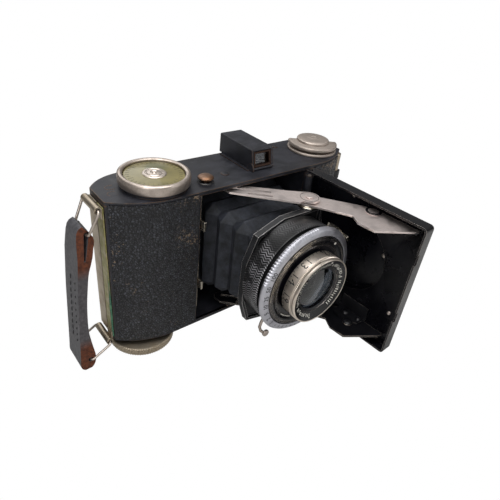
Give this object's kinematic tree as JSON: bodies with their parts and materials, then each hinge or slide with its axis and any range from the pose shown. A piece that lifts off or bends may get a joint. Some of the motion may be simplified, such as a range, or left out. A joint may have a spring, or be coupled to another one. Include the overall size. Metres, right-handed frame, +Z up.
{
  "type": "folding camera",
  "caption": "Thin camera body with a side-hinged front door that draws out a lens and shutter on pleated bellows between folding struts; hand strap at one end.",
  "frame": {"origin": "on the flat bottom face of the camera body, under the middle of the film gate", "axes": "+X to the right seen from the front, the lens looks along -Y, +Z up; the camera stands open"},
  "size_m": [0.1329, 0.089, 0.0817],
  "materials": {
    "enamel": "black enamel, worn to brass and nickel on the edges",
    "leather": "fine pebble grain, glued over the metal",
    "nickel": "dull nickel plate",
    "tarnished": "nickel plate worn to tarnished brass",
    "button_brass": "worn to bare brass",
    "strut_nickel": "satin nickel plate",
    "ring_nickel": "satin engraved nickel",
    "celluloid": "yellowed celluloid",
    "glass": "uncoated optical glass",
    "black_paint": "gloss black lacquer",
    "bellows_cloth": "thin skiver leather over cloth",
    "strap_hide": "worn grained strap leather"
  },
  "bodies": {
    "camera_body": {"body_shell": "enamel", "top_plate": "enamel", "bottom_plate": "enamel", "tripod_bush": "nickel", "front_leather_left": "leather", "front_leather_right": "leather", "back_hinge_pin": "nickel", "end_strip_front": "tarnished", "counter_rim": "nickel", "rewind_base": "nickel", "finder_housing": "enamel", "finder_front_frame": "tarnished", "finder_front_lens": "glass", "finder_eyepiece": "enamel", "upper_strap_tube": "nickel", "lower_strap_tube": "nickel", "door_hinge_pin": "nickel", "bellows": "bellows_cloth", "bellows_frame": "black_paint"},
    "back_door": {"back_cover": "enamel", "back_leather": "leather", "pressure_plate": "nickel", "pressure_spring": "nickel", "end_strip_back": "nickel"},
    "counter": {"counter_disc": "celluloid", "counter_screw": "nickel"},
    "advance": {"advance_knob": "nickel", "take_up_spool": "black_paint"},
    "sprocket": {"sprocket_roller": "nickel"},
    "rewind": {"rewind_knob": "nickel", "rewind_cap": "nickel", "rewind_fork": "nickel"},
    "door_release": {"door_release_button": "button_brass", "latch_bar": "nickel"},
    "upper_wire": {"upper_strap_wire": "nickel"},
    "hand_strap": {"strap": "strap_hide"},
    "lower_wire": {"lower_strap_wire": "nickel"},
    "door": {"door_panel": "black_paint", "door_leather": "leather", "door_bracket_upper": "black_paint", "door_bracket_lower": "black_paint"},
    "front_struts": {"front_strut_upper": "strut_nickel", "front_strut_lower": "black_paint"},
    "standard": {"lens_standard": "enamel", "rear_lens_cell": "black_paint", "rear_lens": "glass", "shutter_housing": "enamel", "shutter_face": "black_paint"},
    "rear_struts": {"rear_strut_upper": "strut_nickel", "rear_strut_lower": "black_paint", "knee_rivet_upper": "nickel", "knee_rivet_lower": "nickel"},
    "speed_setting": {"speed_ring": "ring_nickel"},
    "focus": {"focus_ring": "nickel", "front_lens_cell": "black_paint", "front_lens": "glass"},
    "cocking": {"cocking_lever": "nickel"},
    "aperture": {"aperture_lever": "nickel"},
    "trigger": {"release_lever": "nickel"}
  },
  "joints": [
    {"name": "door_hinge", "type": "hinge", "parent": "camera_body", "child": "door", "pos_m": [0.0266, -0.0166, 0.0325], "axis": [0, 0, -1], "range_deg": [0, 93.25]},
    {"name": "standard_slide", "type": "slide", "parent": "camera_body", "child": "standard", "axis": [0, 1, 0], "range_m": [0, 0.0376], "deforming": ["bellows"]},
    {"name": "rear_strut_pivot", "type": "hinge", "parent": "standard", "child": "rear_struts", "pos_m": [0.0115, -0.0316, 0.0334], "axis": [0, 0, 1], "range_deg": [0, 85]},
    {"name": "front_strut_pivot", "type": "hinge", "parent": "door", "child": "front_struts", "pos_m": [0.0277, -0.0509, 0.0334], "axis": [0, 0, -1], "range_deg": [0, 8.1]},
    {"name": "back_cover_hinge", "type": "hinge", "parent": "camera_body", "child": "back_door", "pos_m": [0.0553, -0.006, 0.032], "axis": [0, 0, -1], "range_deg": [0, 100]},
    {"name": "counter_dial_turn", "type": "hinge", "parent": "camera_body", "child": "counter", "pos_m": [-0.0392, -0.001, 0.067], "axis": [0, 0, 1], "continuous": true},
    {"name": "advance_knob_turn", "type": "hinge", "parent": "camera_body", "child": "advance", "pos_m": [-0.047, -0.002, -0.004], "axis": [0, 0, 1], "continuous": true},
    {"name": "sprocket_turn", "type": "hinge", "parent": "camera_body", "child": "sprocket", "pos_m": [-0.0346, 0.0034, 0.03], "axis": [0, 0, 1], "continuous": true},
    {"name": "rewind_knob_turn", "type": "hinge", "parent": "camera_body", "child": "rewind", "pos_m": [0.04375, 0.0004, 0.067], "axis": [0, 0, 1], "continuous": true},
    {"name": "door_release_press", "type": "slide", "parent": "camera_body", "child": "door_release", "axis": [0, 0, -1], "range_m": [0, 0.0007], "stiffness_N_per_m": 400, "springref_m": -0.002},
    {"name": "upper_wire_swing", "type": "hinge", "parent": "camera_body", "child": "upper_wire", "pos_m": [-0.0628, 0, 0.0614], "axis": [0, 1, 0], "range_deg": [0, 40]},
    {"name": "strap_swing", "type": "hinge", "parent": "upper_wire", "child": "hand_strap", "pos_m": [-0.067, 0, 0.0525], "axis": [0, 1, 0], "range_deg": [-43.6, 0]},
    {"name": "lower_wire_swing", "type": "hinge", "parent": "camera_body", "child": "lower_wire", "pos_m": [-0.0628, 0, 0.0008], "axis": [0, 1, 0], "range_deg": [0, 27.3]},
    {"name": "focus_turn", "type": "hinge", "parent": "standard", "child": "focus", "pos_m": [0, -0.052, 0.0354], "axis": [0, -1, 0], "range_deg": [-60, 240]},
    {"name": "speed_turn", "type": "hinge", "parent": "standard", "child": "speed_setting", "pos_m": [0, -0.0475, 0.0354], "axis": [0, -1, 0], "range_deg": [-75, 75]},
    {"name": "cocking_turn", "type": "hinge", "parent": "standard", "child": "cocking", "pos_m": [0, -0.0455, 0.0354], "axis": [0, 1, 0], "range_deg": [0, 25]},
    {"name": "aperture_turn", "type": "hinge", "parent": "standard", "child": "aperture", "pos_m": [0, -0.0447, 0.0354], "axis": [0, 1, 0], "range_deg": [-22, 22]},
    {"name": "trigger_press", "type": "hinge", "parent": "standard", "child": "trigger", "pos_m": [0, -0.0433, 0.0354], "axis": [0, -1, 0], "range_deg": [0, 8], "stiffness_Nm_per_rad": 0.01, "springref_deg": -8.59}
  ],
  "couplings": [
    {"joint": "standard_slide", "follows": "door_hinge", "m_per_rad": 0.023041},
    {"joint": "rear_strut_pivot", "follows": "door_hinge", "ratio": 0.91046},
    {"joint": "front_strut_pivot", "follows": "door_hinge", "ratio": 0.08579},
    {"joint": "strap_swing", "follows": "upper_wire_swing", "ratio": -1.088},
    {"joint": "lower_wire_swing", "follows": "upper_wire_swing", "ratio": 0.68}
  ]
}
